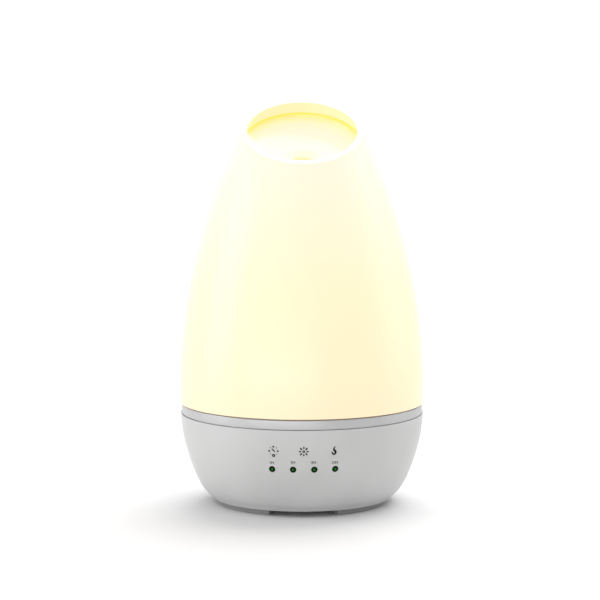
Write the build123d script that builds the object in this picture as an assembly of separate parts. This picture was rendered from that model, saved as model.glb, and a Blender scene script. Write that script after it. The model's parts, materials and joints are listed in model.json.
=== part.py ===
from build123d import *
import math
import os

# Cool mist humidifier: a glowing egg-shaped cover over a water tank, on a bowl-shaped base.
# Millimetres. The floor is Z = 0, the turning axis is Z, and the front with the touch panel is -Y.
# Angles round the body are counted from the front towards +X. Outlines are (radius, height).

far = 200.0  # beyond every piece, for cuts that go right through
rib = 2.0  # thickness of the small ribs and legs

# Outer cover
cover_outline = [
    (66.0, 54.4), (65.6, 77.2), (62.0, 110.0), (54.8, 142.7), (44.3, 175.2), (33.0, 202.0), (24.6, 220.5),
]
cover_wall = 2.4
rim_height = 205.6  # where the slanted opening crosses the axis
rim_tilt = 26.0  # the opening faces up and forward
rim_rounding = 1.2
rim_zone = 190.0  # only the rim's edges have their middle above this height
shadow_step = 0.5  # the rebate that shows as a dark line under the cover
shadow_depth = 1.4

# Mist outlet dish, in the slanted frame of the rim: depths are measured below the rim
dish_centre_y = -9.5
dish_radius = 37.3
dish_oval = 0.88  # side to side, against front to back
dish_shift = -0.75  # of the bowl's middle from the outlet, along the rim's plane
dish_wall = 2.2
dish_gap = 0.06  # between its edge and the wall of the cover, where it is welded
dish_edge_depth = 7.0
dish_edge_slope = 0.45  # inwards for each millimetre down, at the edge
dish_pulls = (0.9, 1.6)  # how strongly the bowl keeps its direction at the edge and at the outlet
outlet_depth = 18.0
outlet_radius = 6.0
spout_length = 4.5
spout_wall = 1.6

# Base shell, its feet and its ledge for the tank
base_outline = [(48.0, 3.0), (52.4, 6.6), (57.8, 15.4), (62.2, 27.6), (64.8, 38.6), (65.9, 49.1)]
base_wall = 2.4
plate_radius = 47.2
plate_gap = 0.3
plate_low = 4.0
plate_thickness = 2.4
foot_outer_radius = 46.6
foot_width = 5.0
foot_span = 44.0
foot_chamfer = 0.6
ledge_low = 41.6
ledge_high = 43.6
ledge_radius = 60.9

# Seam: seal, tank flange and trim ring, stacked upwards from the ledge
seal_high = 44.6
seal_inner_radius = 61.2
flange_high = 46.4
flange_radius = 62.5
ring_shoulder = 49.4
ring_high = 54.3
ring_radius = 65.3
ring_foot_radius = 62.7
ring_bore = 61.0
collar_radius = 63.1
collar_high = 58.0
collar_chamfer = (0.5, 0.6)

# Water tank
tank_radius = 60.4
tank_wall = 2.2
tank_floor = 2.4
tank_underside = 42.0
tank_rim = 84.0
well_radius = 24.0
well_underside = 39.0
duct_place = (38.0, -135.0)  # radius and angle of the air duct
duct_radius = 8.5
duct_wall = 1.5
duct_high = 74.0
duct_flange = (2.5, 1.2)
duct_cap_gap = 3.0
duct_cap_high = 4.0
duct_cap_overhang = 2.2

# Ultrasonic transducer under the well
disc_radius = 10.0
disc_low = 36.4
disc_high = 37.6
seal_radius = 12.0
seal_low = 35.0
eye_radius = 7.8
retainer_radius = 20.0
retainer_low = 33.2
retainer_eye_radius = 7.0
retainer_screw_circle = 17.2
retainer_screw_angles = (60.0, 180.0, 300.0)

# Inner cover and its chimney
skirt_radius = 57.8
skirt_wall = 1.6
skirt_low = 79.0
lid_low = 84.3
lid_radius = 61.2
chimney_radius = 9.0
chimney_wall = 1.4
collar_top = 106.0
chimney_seat = 93.0
tube_gap = 1.5  # between the tube's slanted end and the spout

# Lighting board under the tank
light_board_low = 38.4
light_board_thickness = 1.6
light_board_high = light_board_low + light_board_thickness
light_board_outer = 57.0
light_board_inner = 47.6
light_board_front_y = -50.6  # its straight front edge, behind the touch board
light_screw_circle = 52.5
light_screw_angles = (45.0, 135.0, 225.0, 315.0)
light_circle = 49.0
light_count = 12
light_size = (2.8, 3.5, 1.4)

# Fan
fan_place = (24.0, -135.0)
fan_size = 40.0
fan_low = 8.0
fan_depth = 10.0
fan_high = fan_low + fan_depth
fan_bore = 18.8
fan_post_places = ((-16, -16), (-16, 16), (16, -16), (16, 16))
fan_shaft_radius = 1.0
fan_bridge = 1.4
fan_hub_radius = 9.6
fan_hub_low = fan_low + 0.8
fan_hub_high = fan_low + 7.6
blade_count = 7
blade_twist = 38.0
grille_radius = 17.0
grille_pitch = 4.6
grille_slot = 2.6

# Driver board and touch board
board_place = (23.0, 45.0)
board_size = (38.0, 50.0, 1.6)
board_low = 10.4
board_high = board_low + board_size[2]
board_post_places = ((-15.5, -21.5), (-15.5, 21.5), (15.5, -21.5), (15.5, 21.5))
sink_size = (14.0, 9.0, 13.0)
coil_outline = [(0, 0), (5.6, 0), (5.6, 1.4), (4.6, 1.4), (4.6, 7.0), (5.6, 7.0), (5.6, 8.4), (0, 8.4)]
capacitor_size = (4.0, 11.0)
chip_size = (5.4, 10.0, 1.6)
header_pitch = 2.5
header_high = 6.0
touch_board_y = -52.8
touch_board_size = (46.0, 1.2, 15.0)
touch_board_low = 23.0
touch_screw_places = (-20.0, 20.0)
touch_screw_height = 31.0
indicator_height = 28.0
indicator_radius = 1.7
indicator_angles = (-15.3, -5.1, 5.1, 15.3)
indicator_led = (1.5, 3.2)
touch_height = 35.0
touch_radius = 2.8
touch_angles = (-14.1, 0.0, 14.1)

# Inlet
socket_height = 23.0
socket_face_y = 55.4
socket_barrel_radius = 4.0
socket_pocket_radius = 5.8
socket_pad_radius = 8.0
socket_body = (9.0, 12.0, 8.6)
jack_radius = 2.75
pin_radius = 1.05

# Screws: head radius, head height and shank radius, with the holes that they pass through
case_screw_circle = 43.0
case_screw_angles = (0.0, 90.0, 180.0, 270.0)
case_boss_radius = 3.6
case_boss_high = 16.5
case_screw_size = (2.9, 1.4, 1.3)
case_screw_high = plate_low + 1.2
case_hole_radius = 1.7
board_screw_size = (2.3, 1.3, 1.05)
fan_hole_radius = 1.6
board_hole_radius = 1.3
retainer_screw_size = (2.3, 1.3, 1.1)
retainer_hole_radius = 1.4
small_screw_size = (1.9, 1.1, 0.9)
light_hole_radius = 1.1
touch_hole_radius = 1.2
pilot_gap = 0.05  # a pilot hole's radius beyond the shank's

os.makedirs("parts", exist_ok=True)


# Shapes that several pieces share

def around(radius, angle, height=0.0):
    # a place at a radius and an angle from the front
    turn = math.radians(angle)
    return (radius * math.sin(turn), -radius * math.cos(turn), height)


def facing(radius, angle, height=0.0):
    # a frame at such a place, with its X axis pointing outwards
    return Location(around(radius, angle, height), (0, 0, angle - 90))


def disc(radius, low, high):
    return Pos(0, 0, (low + high) / 2) * Cylinder(radius, high - low)


def bore(radius):
    return disc(radius, -far, far)


def pilot(screw_size, low, high):
    # the hole that a screw of that size bites into
    return disc(screw_size[2] + pilot_gap, low, high)


def hoop(outer, inner, low, high):
    return disc(outer, low, high) - bore(inner)


def block(x_size, y_size, low, high):
    return Pos(0, 0, (low + high) / 2) * Box(x_size, y_size, high - low)


def rod(radius, y_from, y_to):
    # a cylinder along Y
    return Pos(0, (y_from + y_to) / 2, 0) * Rot(90, 0, 0) * Cylinder(radius, y_to - y_from)


def turned(edges):
    # the solid that a closed outline in the XZ plane sweeps about the Z axis
    return revolve(make_face(edges), Axis.Z, 360)


def section(points):
    # the same, from straight runs between (radius, height) points
    corners = [(radius, 0, height) for radius, height in points]
    return turned(Polyline(*corners, close=True).edges())


def outline(points, start, end):
    places = [Vector(radius, 0, height) for radius, height in points]
    return Spline(places, tangents=[(start[0], 0, start[1]), (end[0], 0, end[1])])


def inset(curve, distance, count=8):
    # the curve moved sideways, towards the axis
    places = []
    for step in range(count + 1):
        along = curve % (step / count)
        places.append(curve @ (step / count) + Vector(-along.Z, 0, along.X) * distance)
    return Spline(places)


def filled(curve):
    # the solid of revolution inside a curve that runs upwards
    bottom = curve @ 0
    top = curve @ 1
    high = (0, 0, top.Z)
    low = (0, 0, bottom.Z)
    return turned([curve, Line(top, high), Line(high, low), Line(low, bottom)])


def screw(size, length):
    # a pan-head screw pointing up, with the top of its head on Z = 0 and a cross recess below
    head_radius, head_high, shank_radius = size
    recess_depth = 0.6
    head = disc(head_radius, -head_high, 0)
    head = chamfer(head.edges().group_by(Axis.Z)[0], head_high * 0.35)
    slot = Pos(0, 0, -head_high + 0.25) * Box(head_radius * 1.2, head_radius * 0.3, recess_depth)
    return head + disc(shank_radius, 0, length) - slot - Rot(0, 0, 90) * slot


def write(name, shape):
    solids = shape if isinstance(shape, (list, tuple)) else shape.solids()
    whole = solids[0] if len(solids) == 1 else Compound(children=list(solids))
    export_step(whole, f"parts/{name}.step")


# Outer cover, cut by the slanted rim

rim_drop = math.tan(math.radians(rim_tilt))
rim_frame = Location((0, dish_centre_y, rim_height + dish_centre_y * rim_drop), (rim_tilt, 0, 0))
cover_curve = outline(cover_outline, (0.0, 1.0), (-0.5, 1.0))
cover_foot = cover_outline[0][1]


def cover_space(depth):
    return filled(inset(cover_curve, depth))


def above_rim(depth=0.0):
    # everything over a slanted plane that lies that far below the rim
    return rim_frame * block(far, far, -depth, far)


def bowl(edge_radius, edge_depth, low_depth):
    # everything above a bowl that falls steeply from its oval edge and flattens towards the outlet
    top = 5.0
    edge = Vector(edge_radius, 0, -edge_depth)
    middle = Vector(0, 0, -low_depth)
    ways = [(-dish_edge_slope, 0, -1), (-1, 0, 0)]
    curve = Spline([edge, middle], tangents=ways, tangent_scalars=dish_pulls)
    corners = Polyline(middle, (0, 0, top), (edge_radius, 0, top), edge)
    return Pos(0, dish_shift, 0) * scale(turned([curve] + list(corners.edges())), by=(dish_oval, 1, 1))


def make_top_cover():
    shell = filled(cover_curve) - cover_space(cover_wall) - above_rim()
    rim = shell.edges().filter_by(lambda edge: edge.center().Z > rim_zone)
    shell = fillet(rim.sort_by(SortBy.LENGTH)[-1], rim_rounding)
    return shell - hoop(80.0, cover_outline[0][0] - shadow_depth, cover_foot - 1, cover_foot + shadow_step)


def make_dish():
    # its edge is welded to the wall of the cover, a hair's breadth inside it
    under = rim_frame * bowl(dish_radius + dish_wall, dish_edge_depth + dish_wall, outlet_depth + dish_wall)
    top = rim_frame * (bowl(dish_radius, dish_edge_depth, outlet_depth) + disc(outlet_radius, -far, 0))
    spout = rim_frame * disc(outlet_radius + spout_wall, -outlet_depth - spout_length, -outlet_depth + 0.5)
    body = (under - above_rim(dish_edge_depth)) & cover_space(cover_wall + dish_gap)
    return body + spout - top


write("top_cover", make_top_cover())
write("mist_outlet_dish", make_dish())


# Base shell: a bowl with a ledge for the tank, screw bosses and openings for the panel and the inlet

base_curve = outline(base_outline, (1.0, 0.55), (0.03, 1.0))
base_foot = base_outline[0][1]
base_top = base_outline[-1][1]
plate_high = plate_low + plate_thickness
inlet = Pos(0, 0, socket_height)


def base_space(depth):
    # the room inside the shell, carried on past its open top and bottom
    curve = inset(base_curve, depth)
    bottom = curve @ 0
    above = disc((curve @ 1).X, base_top - 0.1, far)
    below = disc(bottom.X, bottom.Z - 0.4, bottom.Z + 0.1)
    return filled(curve) + above + below


def panel_bore(radius, angle, inner=50.0):
    # a hole through the front of the shell for an indicator
    return facing(0, angle, indicator_height) * Rot(0, 90, 0) * disc(radius, inner, inner + 20)


def make_case_bosses():
    bosses = []
    for angle in case_screw_angles:
        place = facing(case_screw_circle, angle)
        bosses.append(place * disc(case_boss_radius, plate_high, case_boss_high))
        bosses.append(place * Pos(9, 0, 0) * block(18, rib, plate_high + 3, case_boss_high - 1))
    return bosses


def make_board_posts():
    # two posts that the touch board screws onto
    post = rod(rib, touch_board_y - 10, touch_board_y)
    return [Pos(x_place, 0, touch_screw_height) * post for x_place in touch_screw_places]


def make_socket_pad():
    pad = rod(socket_pad_radius, socket_face_y - base_wall, socket_face_y + 6)
    return inlet * (pad - rod(socket_pocket_radius, socket_face_y, far))


def make_base_shell():
    outside = filled(base_curve)
    ledge = hoop(64.0, ledge_radius, ledge_low, ledge_high) & outside
    shell = outside - base_space(base_wall) - disc(plate_radius + plate_gap, 0, 8) + ledge
    for boss in make_case_bosses() + [make_socket_pad()] + make_board_posts():
        shell = shell + (boss & outside)
    shell = shell - inlet * rod(socket_pocket_radius, socket_face_y, far)
    shell = shell - inlet * rod(socket_barrel_radius + 0.1, socket_face_y - 10, far)
    for angle in case_screw_angles:
        shell = shell - facing(case_screw_circle, angle) * pilot(case_screw_size, 0, case_boss_high - 2)
    touch_pilot = Rot(90, 0, 0) * pilot(small_screw_size, -0.5, 4.5)
    for x_place in touch_screw_places:
        shell = shell - Pos(x_place, touch_board_y, touch_screw_height) * touch_pilot
    for angle in indicator_angles:
        shell = shell - panel_bore(indicator_radius + 0.05, angle)
    return shell


def make_bottom_plate():
    plate = disc(plate_radius, plate_low, plate_high)
    fan = facing(*fan_place)
    for place in fan_post_places:
        plate = plate + fan * Pos(*place) * disc(3.0, plate_low, fan_low)
    board = facing(*board_place)
    for place in board_post_places:
        plate = plate + board * Pos(*place) * disc(2.8, plate_low, board_low)
    for place in fan_post_places:
        plate = plate - fan * Pos(*place) * pilot(board_screw_size, plate_low + 0.8, far)
    for place in board_post_places:
        plate = plate - board * Pos(*place) * pilot(board_screw_size, plate_low + 0.8, far)
    for row in range(-3, 4):
        across = row * grille_pitch
        slot = SlotOverall(2 * math.sqrt(grille_radius ** 2 - across ** 2), grille_slot)
        plate = plate - fan * Pos(0, across, 0) * extrude(slot, plate_high + 1)
    for angle in case_screw_angles:
        place = facing(case_screw_circle, angle)
        plate = plate - place * bore(case_hole_radius) - place * disc(3.2, 0, case_screw_high)
    return plate


def make_foot(angle):
    # an arc cut out of a ring by a wedge
    arc = hoop(foot_outer_radius, foot_outer_radius - foot_width, 0, plate_low)
    half = foot_span / 2
    corners = [(0, 0)] + [around(far, angle + side)[:2] for side in (-half, 0, half)]
    foot = arc & extrude(make_face(Polyline(*corners, close=True)), 10)
    return chamfer(foot.edges().group_by(Axis.Z)[0], foot_chamfer)


write("base_shell", make_base_shell())
write("bottom_plate", make_bottom_plate())
for name, angle in (("front_right", 45), ("rear_right", 135), ("rear_left", 225), ("front_left", 315)):
    write(f"foot_{name}", make_foot(angle))
case_screw = screw(case_screw_size, case_boss_high - 2.6 - case_screw_high)
case_screw_frames = [facing(case_screw_circle, angle, case_screw_high) for angle in case_screw_angles]
write("case_screws", [place * case_screw for place in case_screw_frames])


# Seam: flat seal, trim ring with the collar that centres the cover

def make_trim_ring():
    inwards, down = collar_chamfer
    return section([(ring_bore, flange_high), (ring_foot_radius, flange_high),
                    (ring_foot_radius, ring_shoulder), (ring_radius, ring_shoulder),
                    (ring_radius, ring_high), (collar_radius, ring_high),
                    (collar_radius, collar_high - down), (collar_radius - inwards, collar_high),
                    (ring_bore, collar_high)])


write("tank_seal", hoop(flange_radius, seal_inner_radius, ledge_high, seal_high))
write("trim_ring", make_trim_ring())


# Water tank: a cup with a well for the transducer, a flange and screw bosses below

def make_tank_body():
    well = well_radius + tank_floor
    return section([(0, well_underside), (well, well_underside), (well, tank_underside),
                    (tank_radius, tank_underside), (tank_radius, seal_high), (flange_radius, seal_high),
                    (flange_radius, flange_high), (tank_radius, flange_high), (tank_radius, tank_rim),
                    (0, tank_rim)])


def make_tank_hollow():
    # the water's room, with a corner broken round the floor
    inner = tank_radius - tank_wall
    floor = tank_underside + tank_floor
    well = well_underside + tank_floor
    return section([(0, well), (well_radius, well), (well_radius, floor), (inner - 4, floor),
                    (inner - 1.2, floor + 1.2), (inner, floor + 4), (inner, far), (0, far)])


def make_water_tank():
    tank = make_tank_body() - make_tank_hollow()
    tank = tank - Pos(*around(*duct_place)) * disc(duct_radius + 0.05, 0, duct_high)
    tank = tank + hoop(seal_radius + 2.5, seal_radius + 0.1, seal_low, well_underside + 0.5)
    retainer_boss = disc(2.8, seal_low, well_underside + 0.5)
    for angle in retainer_screw_angles:
        tank = tank + facing(retainer_screw_circle, angle) * retainer_boss
    light_boss = disc(2.4, light_board_high, tank_underside + 0.5)
    for angle in light_screw_angles:
        tank = tank + facing(light_screw_circle, angle) * light_boss
    tank = tank - disc(eye_radius + 0.6, 0, well_underside + 3) - disc(seal_radius + 0.1, 0, well_underside)
    retainer_pilot = pilot(retainer_screw_size, 0, well_underside + 0.6)
    for angle in retainer_screw_angles:
        tank = tank - facing(retainer_screw_circle, angle) * retainer_pilot
    light_pilot = pilot(small_screw_size, 0, tank_underside + 1.6)
    for angle in light_screw_angles:
        tank = tank - facing(light_screw_circle, angle) * light_pilot
    return tank


def make_air_duct():
    # a tube pressed into the tank's floor, with a flange that seals it
    floor = tank_underside + tank_floor
    flange = disc(duct_radius + duct_flange[0], floor, floor + duct_flange[1])
    tube = disc(duct_radius, tank_underside, duct_high) + flange
    return Pos(*around(*duct_place)) * (tube - bore(duct_radius - duct_wall))


def make_duct_cap():
    # a hood on three legs inside the duct: air leaves under its skirt and drips stay out
    low = duct_high + duct_cap_gap
    high = low + duct_cap_high
    cap = disc(duct_radius + duct_cap_overhang, low, high) - disc(duct_radius + 0.8, 0, high - 1.4)
    cap = fillet(cap.edges().group_by(Axis.Z)[-1], 1.2)
    for angle in (0, 120, 240):
        cap = cap + facing(duct_radius - 2.6, angle) * block(rib, 3.0, duct_high - 6, high - 1)
    cap = cap & (disc(duct_radius + 3, duct_high, far) + disc(duct_radius - duct_wall - 0.1, 0, duct_high))
    return Pos(*around(*duct_place)) * cap


write("water_tank", make_water_tank())
write("air_duct", make_air_duct())
write("air_duct_cap", make_duct_cap())


# Ultrasonic transducer: the disc in its rubber seal, held up by a screwed plate

def make_retainer():
    plate = hoop(retainer_radius, retainer_eye_radius, retainer_low, seal_low)
    for angle in retainer_screw_angles:
        plate = plate - facing(retainer_screw_circle, angle) * bore(retainer_hole_radius)
    return plate


transducer = disc(disc_radius, disc_low, disc_high)
write("transducer_disc", transducer)
write("transducer_seal", hoop(seal_radius, eye_radius, seal_low, well_underside) - transducer)
write("transducer_retainer", make_retainer())
retainer_screw = screw(retainer_screw_size, well_underside + 0.2 - retainer_low)
retainer_places = [facing(retainer_screw_circle, angle, retainer_low) for angle in retainer_screw_angles]
write("retainer_screws", [place * retainer_screw for place in retainer_places])


# Lighting: a ring board with warm LEDs that shine up through the tank

def make_light_board():
    board = hoop(light_board_outer, light_board_inner, light_board_low, light_board_high)
    board = board - Pos(0, light_board_front_y - far, 0) * block(far, 2 * far, -far, far)
    for angle in light_screw_angles:
        board = board - facing(light_screw_circle, angle) * bore(light_hole_radius)
    return board


def make_light():
    package = block(light_size[0], light_size[1], light_board_high, light_board_high + light_size[2])
    return chamfer(package.edges().group_by(Axis.Z)[-1], 0.3)


write("light_ring_board", make_light_board())
light_angles = [360 * index / light_count for index in range(light_count)]
write("light_ring_leds", [facing(light_circle, angle) * make_light() for angle in light_angles])
light_screw = screw(small_screw_size, 5.0)
light_screw_frames = [facing(light_screw_circle, angle, light_board_low) for angle in light_screw_angles]
write("light_board_screws", [place * light_screw for place in light_screw_frames])


# Inner cover with its chimney: a shallow dome, a skirt inside the tank and a collar for the tube

def make_inner_cover():
    collar = chimney_radius + 0.1
    throat = chimney_radius - chimney_wall
    skirt_inner = skirt_radius - skirt_wall
    underside = [(collar, collar_top), (collar, chimney_seat), (throat, chimney_seat), (throat, 90.4),
                 (20, 89.2), (40, 87.0), (skirt_inner, lid_low + 0.2), (skirt_inner, skirt_low)]
    edge = [(skirt_radius, skirt_low), (skirt_radius, lid_low), (lid_radius, lid_low),
            (lid_radius, lid_low + 1.8), (57, lid_low + 2.6)]
    top = [(40, 89.0), (20, 91.4), (collar + 1.8, 94.5), (collar + 1.8, collar_top)]
    return section(underside + edge + top)


def make_mist_tube():
    tube = disc(chimney_radius, chimney_seat, far) - bore(chimney_radius - chimney_wall)
    return tube - above_rim(tube_gap + outlet_depth + spout_length)


write("inner_cover", make_inner_cover())
write("mist_tube", make_mist_tube())


# Fan

def make_fan_bridge():
    # a hub on three arms, with the post that the rotor turns in
    low = fan_high - fan_bridge
    bridge = disc(8.5, low, fan_high)
    for angle in (30, 150, 270):
        bridge = bridge + facing(13.5, angle) * block(12.0, 2.4, low, fan_high)
    return bridge + disc(3.0, fan_low + 3.2, fan_high)


def make_fan_housing():
    frame = block(fan_size, fan_size, fan_low, fan_high)
    frame = fillet(frame.edges().filter_by(Axis.Z), 3.0) - bore(fan_bore) + make_fan_bridge()
    frame = frame - disc(fan_shaft_radius + 0.04, 0, fan_high - 0.6)
    for place in fan_post_places:
        frame = frame - Pos(*place, 0) * bore(fan_hole_radius)
    return facing(*fan_place) * frame


def make_fan_rotor():
    cup = disc(fan_hub_radius, fan_hub_low, fan_hub_high) - disc(fan_hub_radius - 1.2, fan_hub_low + 1.2, far)
    rotor = cup + disc(fan_shaft_radius, fan_hub_low + 0.2, fan_high - 1.2)
    swept = hoop(fan_bore - 0.7, fan_hub_radius - 0.6, fan_hub_low, fan_hub_high)
    blade = Pos(13.8, 0, (fan_hub_low + fan_hub_high) / 2) * Rot(blade_twist, 0, 0) * Box(10.4, 9.0, 1.0)
    for index in range(blade_count):
        rotor = rotor + (Rot(0, 0, index * 360 / blade_count) * blade & swept)
    return facing(*fan_place) * rotor


def make_stator():
    # the motor's windings, round the bearing post
    return facing(*fan_place) * hoop(7.6, 3.1, fan_low + 3.4, fan_high - 1.5)


write("fan_housing", make_fan_housing())
write("fan_rotor", make_fan_rotor())
write("fan_stator", make_stator())
fan_screw = Rot(180, 0, 0) * screw(board_screw_size, fan_depth + 2.6)
write("fan_screws", [facing(*fan_place, fan_high) * Pos(*place, 0) * fan_screw for place in fan_post_places])


# Driver board

board_frame = facing(*board_place)


def on_board(x_place, y_place, shape):
    return board_frame * Pos(x_place, y_place, board_high) * shape


def make_driver_board():
    board = block(board_size[0], board_size[1], board_low, board_high)
    for place in board_post_places:
        board = board - Pos(*place, 0) * bore(board_hole_radius)
    return board_frame * board


def make_heatsink():
    x_size, y_size, high = sink_size
    sink = block(x_size, y_size, 0, high)
    for index in range(4):
        sink = sink - Pos(-5.25 + index * 3.5, 1.6, 0) * block(2.2, y_size, 3.0, far)
    return sink


def make_capacitor():
    radius, high = capacitor_size
    return fillet(disc(radius, 0, high).edges().group_by(Axis.Z)[-1], 0.5)


def make_header(pins):
    length = header_pitch * pins + 2.4
    return block(5.6, length, 0, header_high) - block(4.0, length - 1.6, 1.2, far)


write("driver_board", make_driver_board())
write("heat_sink", on_board(4.0, -9.0, make_heatsink()))
write("driver_coil", on_board(6.0, 10.0, section(coil_outline)))
write("capacitors", [on_board(-8.0, y_place, make_capacitor()) for y_place in (-12.0, -2.0)])
write("controller_chip", on_board(-9.0, 10.0, block(chip_size[0], chip_size[1], 0, chip_size[2])))
write("board_headers", [on_board(15.5, y_place, make_header(3)) for y_place in (-9.0, 3.0, 13.5)])
board_screw = Rot(180, 0, 0) * screw(board_screw_size, 4.6)
write("board_screws", [board_frame * Pos(*place, board_high) * board_screw for place in board_post_places])


# Touch board behind the front panel, with its indicators

touch_back_y = touch_board_y + touch_board_size[1]
front_zone = Pos(0, touch_board_y - 3.4 - far / 2, 0) * Box(far, far, far)


def make_touch_board():
    x_size, y_size, high = touch_board_size
    board = block(x_size, y_size, touch_board_low, touch_board_low + high)
    board = Pos(0, (touch_board_y + touch_back_y) / 2, 0) * board
    for x_place in touch_screw_places:
        board = board - Pos(x_place, 0, touch_screw_height) * rod(touch_hole_radius, -far, 0)
    return board


def make_light_guide(angle):
    # a tinted pin flush with the panel, with a lip behind it
    guide = panel_bore(indicator_radius, angle)
    lip = panel_bore(indicator_radius + 1, angle, inner=45) & base_space(base_wall + 0.1)
    return (guide + lip) & filled(base_curve) & front_zone


def touch_x(angle):
    return 55.0 * math.sin(math.radians(angle))


def make_touch_pad(angle):
    # conductive foam between the board and the panel
    pad = Pos(touch_x(angle), 0, touch_height) * rod(touch_radius, touch_board_y - 12, touch_board_y)
    return pad & base_space(base_wall + 0.05)


def make_indicator(angle):
    x_place = around(59.0, angle)[0] * 0.95
    radius, depth = indicator_led
    return Pos(x_place, 0, indicator_height) * rod(radius, touch_board_y - depth, touch_board_y)


write("touch_board", make_touch_board())
write("indicator_windows", [make_light_guide(angle) for angle in indicator_angles])
write("indicator_leds", [make_indicator(angle) for angle in indicator_angles])
write("touch_pads", [make_touch_pad(angle) for angle in touch_angles])
touch_screw = Rot(90, 0, 0) * screw(small_screw_size, 4.6)
touch_screw_frames = [Pos(x_place, touch_back_y, touch_screw_height) for x_place in touch_screw_places]
write("touch_board_screws", [place * touch_screw for place in touch_screw_frames])


# Direct-current inlet at the back: a body inside the shell, a barrel in the pocket and the pin

def make_socket():
    x_size, y_size, z_size = socket_body
    inner_face = socket_face_y - base_wall
    body = Pos(0, inner_face - y_size / 2, 0) * Box(x_size, y_size, z_size)
    barrel = rod(socket_barrel_radius, inner_face, inner_face + 4)
    hole = rod(jack_radius, socket_face_y - 9, far)
    pin = rod(pin_radius, socket_face_y - 10, socket_face_y - 0.5)
    return inlet * (body + barrel - hole + pin)


write("dc_socket", make_socket())
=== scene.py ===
import bmesh
import bpy
import json
import math
import numpy as np
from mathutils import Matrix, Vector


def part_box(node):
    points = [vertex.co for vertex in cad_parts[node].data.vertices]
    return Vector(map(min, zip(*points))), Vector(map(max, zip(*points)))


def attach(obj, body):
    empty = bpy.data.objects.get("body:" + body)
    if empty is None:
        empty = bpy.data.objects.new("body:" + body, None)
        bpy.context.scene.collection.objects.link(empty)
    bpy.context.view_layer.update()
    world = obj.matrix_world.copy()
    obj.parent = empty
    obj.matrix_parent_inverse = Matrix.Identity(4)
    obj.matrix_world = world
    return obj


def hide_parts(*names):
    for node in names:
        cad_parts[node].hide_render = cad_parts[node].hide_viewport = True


# Cool mist humidifier: a warm glowing egg on a grey bowl. Metres, front at -Y, floor at Z = 0.

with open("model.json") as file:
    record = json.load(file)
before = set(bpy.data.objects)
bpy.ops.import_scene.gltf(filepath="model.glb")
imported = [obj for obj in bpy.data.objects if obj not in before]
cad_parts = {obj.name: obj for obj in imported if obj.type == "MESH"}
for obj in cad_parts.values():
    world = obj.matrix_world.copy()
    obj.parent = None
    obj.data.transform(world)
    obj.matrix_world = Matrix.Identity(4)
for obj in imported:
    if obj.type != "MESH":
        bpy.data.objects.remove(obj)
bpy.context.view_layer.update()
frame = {"nodes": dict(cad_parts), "record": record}
mm = 0.001


# numbers and meshes

def smoothCurve(points):
    # natural cubic spline through the points, by the distance along them: a function of 0 to 1
    knots = np.array(points, float)
    gaps = np.hypot(*np.diff(knots, axis=0).T)
    along = np.concatenate([[0], np.cumsum(gaps)]) / gaps.sum()
    count = len(knots)
    steps = np.diff(along)[:, None]
    rows = np.eye(count)
    right = np.zeros((count, 2))
    slopes = np.diff(knots, axis=0) / steps
    for row in range(1, count - 1):
        rows[row, row - 1:row + 2] = steps[row - 1, 0], 2 * (steps[row - 1, 0] + steps[row, 0]), steps[row, 0]
        right[row] = 6 * (slopes[row] - slopes[row - 1])
    bends = np.linalg.solve(rows, right)

    def at(place):
        place = np.clip(np.asarray(place, float), 0, 1)
        span = np.clip(np.searchsorted(along, place, side="right") - 1, 0, count - 2)
        width = steps[span, 0][:, None]
        before = (place - along[span])[:, None]
        after = width - before
        cubic = (bends[span] * after ** 3 + bends[span + 1] * before ** 3) / (6 * width)
        ends = (knots[span] / width - bends[span] * width / 6) * after
        return cubic + ends + (knots[span + 1] / width - bends[span + 1] * width / 6) * before
    return at


def addMesh(name, points, faces, material, smooth=True, crease=35, marks=None, pattern=None):
    # marks are numbers on the points that a material may read, pattern their places on its UV map
    mesh = bpy.data.meshes.new(name)
    mesh.from_pydata(np.asarray(points, float).tolist(), [], [list(face) for face in faces])
    mesh.materials.append(material)
    for key, values in (marks or {}).items():
        mark = mesh.attributes.new(key, "FLOAT", "POINT")
        mark.data.foreach_set("value", np.asarray(values, np.float32).ravel())
    if pattern is not None:
        corners = np.zeros(len(mesh.loops), np.int32)
        mesh.loops.foreach_get("vertex_index", corners)
        mesh.uv_layers.new(name="pattern").data.foreach_set("uv", np.asarray(pattern)[corners].ravel())
    mesh.validate()
    mesh.shade_smooth() if smooth else mesh.shade_flat()
    piece = bpy.data.objects.new(name, mesh)
    bpy.context.scene.collection.objects.link(piece)
    if smooth:
        mesh.set_sharp_from_angle(angle=math.radians(crease))
    return piece


def joined(*shapes):
    # several (points, faces) pairs as one
    points = np.concatenate([shape[0] for shape in shapes])
    starts = np.cumsum([0] + [len(shape[0]) for shape in shapes])
    faces = []
    for start, shape in zip(starts.tolist(), shapes):
        faces += [[int(corner) + start for corner in face] for face in shape[1]]
    return points, faces


def gridFaces(rows, columns, closeRows=False, closeColumns=True):
    # quads of a grid of rows by columns, numbered row by row, with either way closed on itself
    row = np.arange(rows if closeRows else rows - 1)[:, None]
    column = np.arange(columns if closeColumns else columns - 1)[None, :]
    nextRow = (row + 1) % rows
    nextColumn = (column + 1) % columns
    corners = [row * columns + column, row * columns + nextColumn,
               nextRow * columns + nextColumn, nextRow * columns + column]
    return np.stack(np.broadcast_arrays(*corners), axis=-1).reshape(-1, 4)


# shader helpers: a socket that does sums, and one way to add any other node

class Sum:
    def __init__(self, maker, socket):
        self.maker = maker
        self.socket = socket

    def __add__(self, other): return self.maker.maths("ADD", self, other)
    def __radd__(self, other): return self.maker.maths("ADD", other, self)
    def __sub__(self, other): return self.maker.maths("SUBTRACT", self, other)
    def __rsub__(self, other): return self.maker.maths("SUBTRACT", other, self)
    def __mul__(self, other): return self.maker.maths("MULTIPLY", self, other)
    def __rmul__(self, other): return self.maker.maths("MULTIPLY", other, self)
    def __truediv__(self, other): return self.maker.maths("DIVIDE", self, other)


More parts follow.
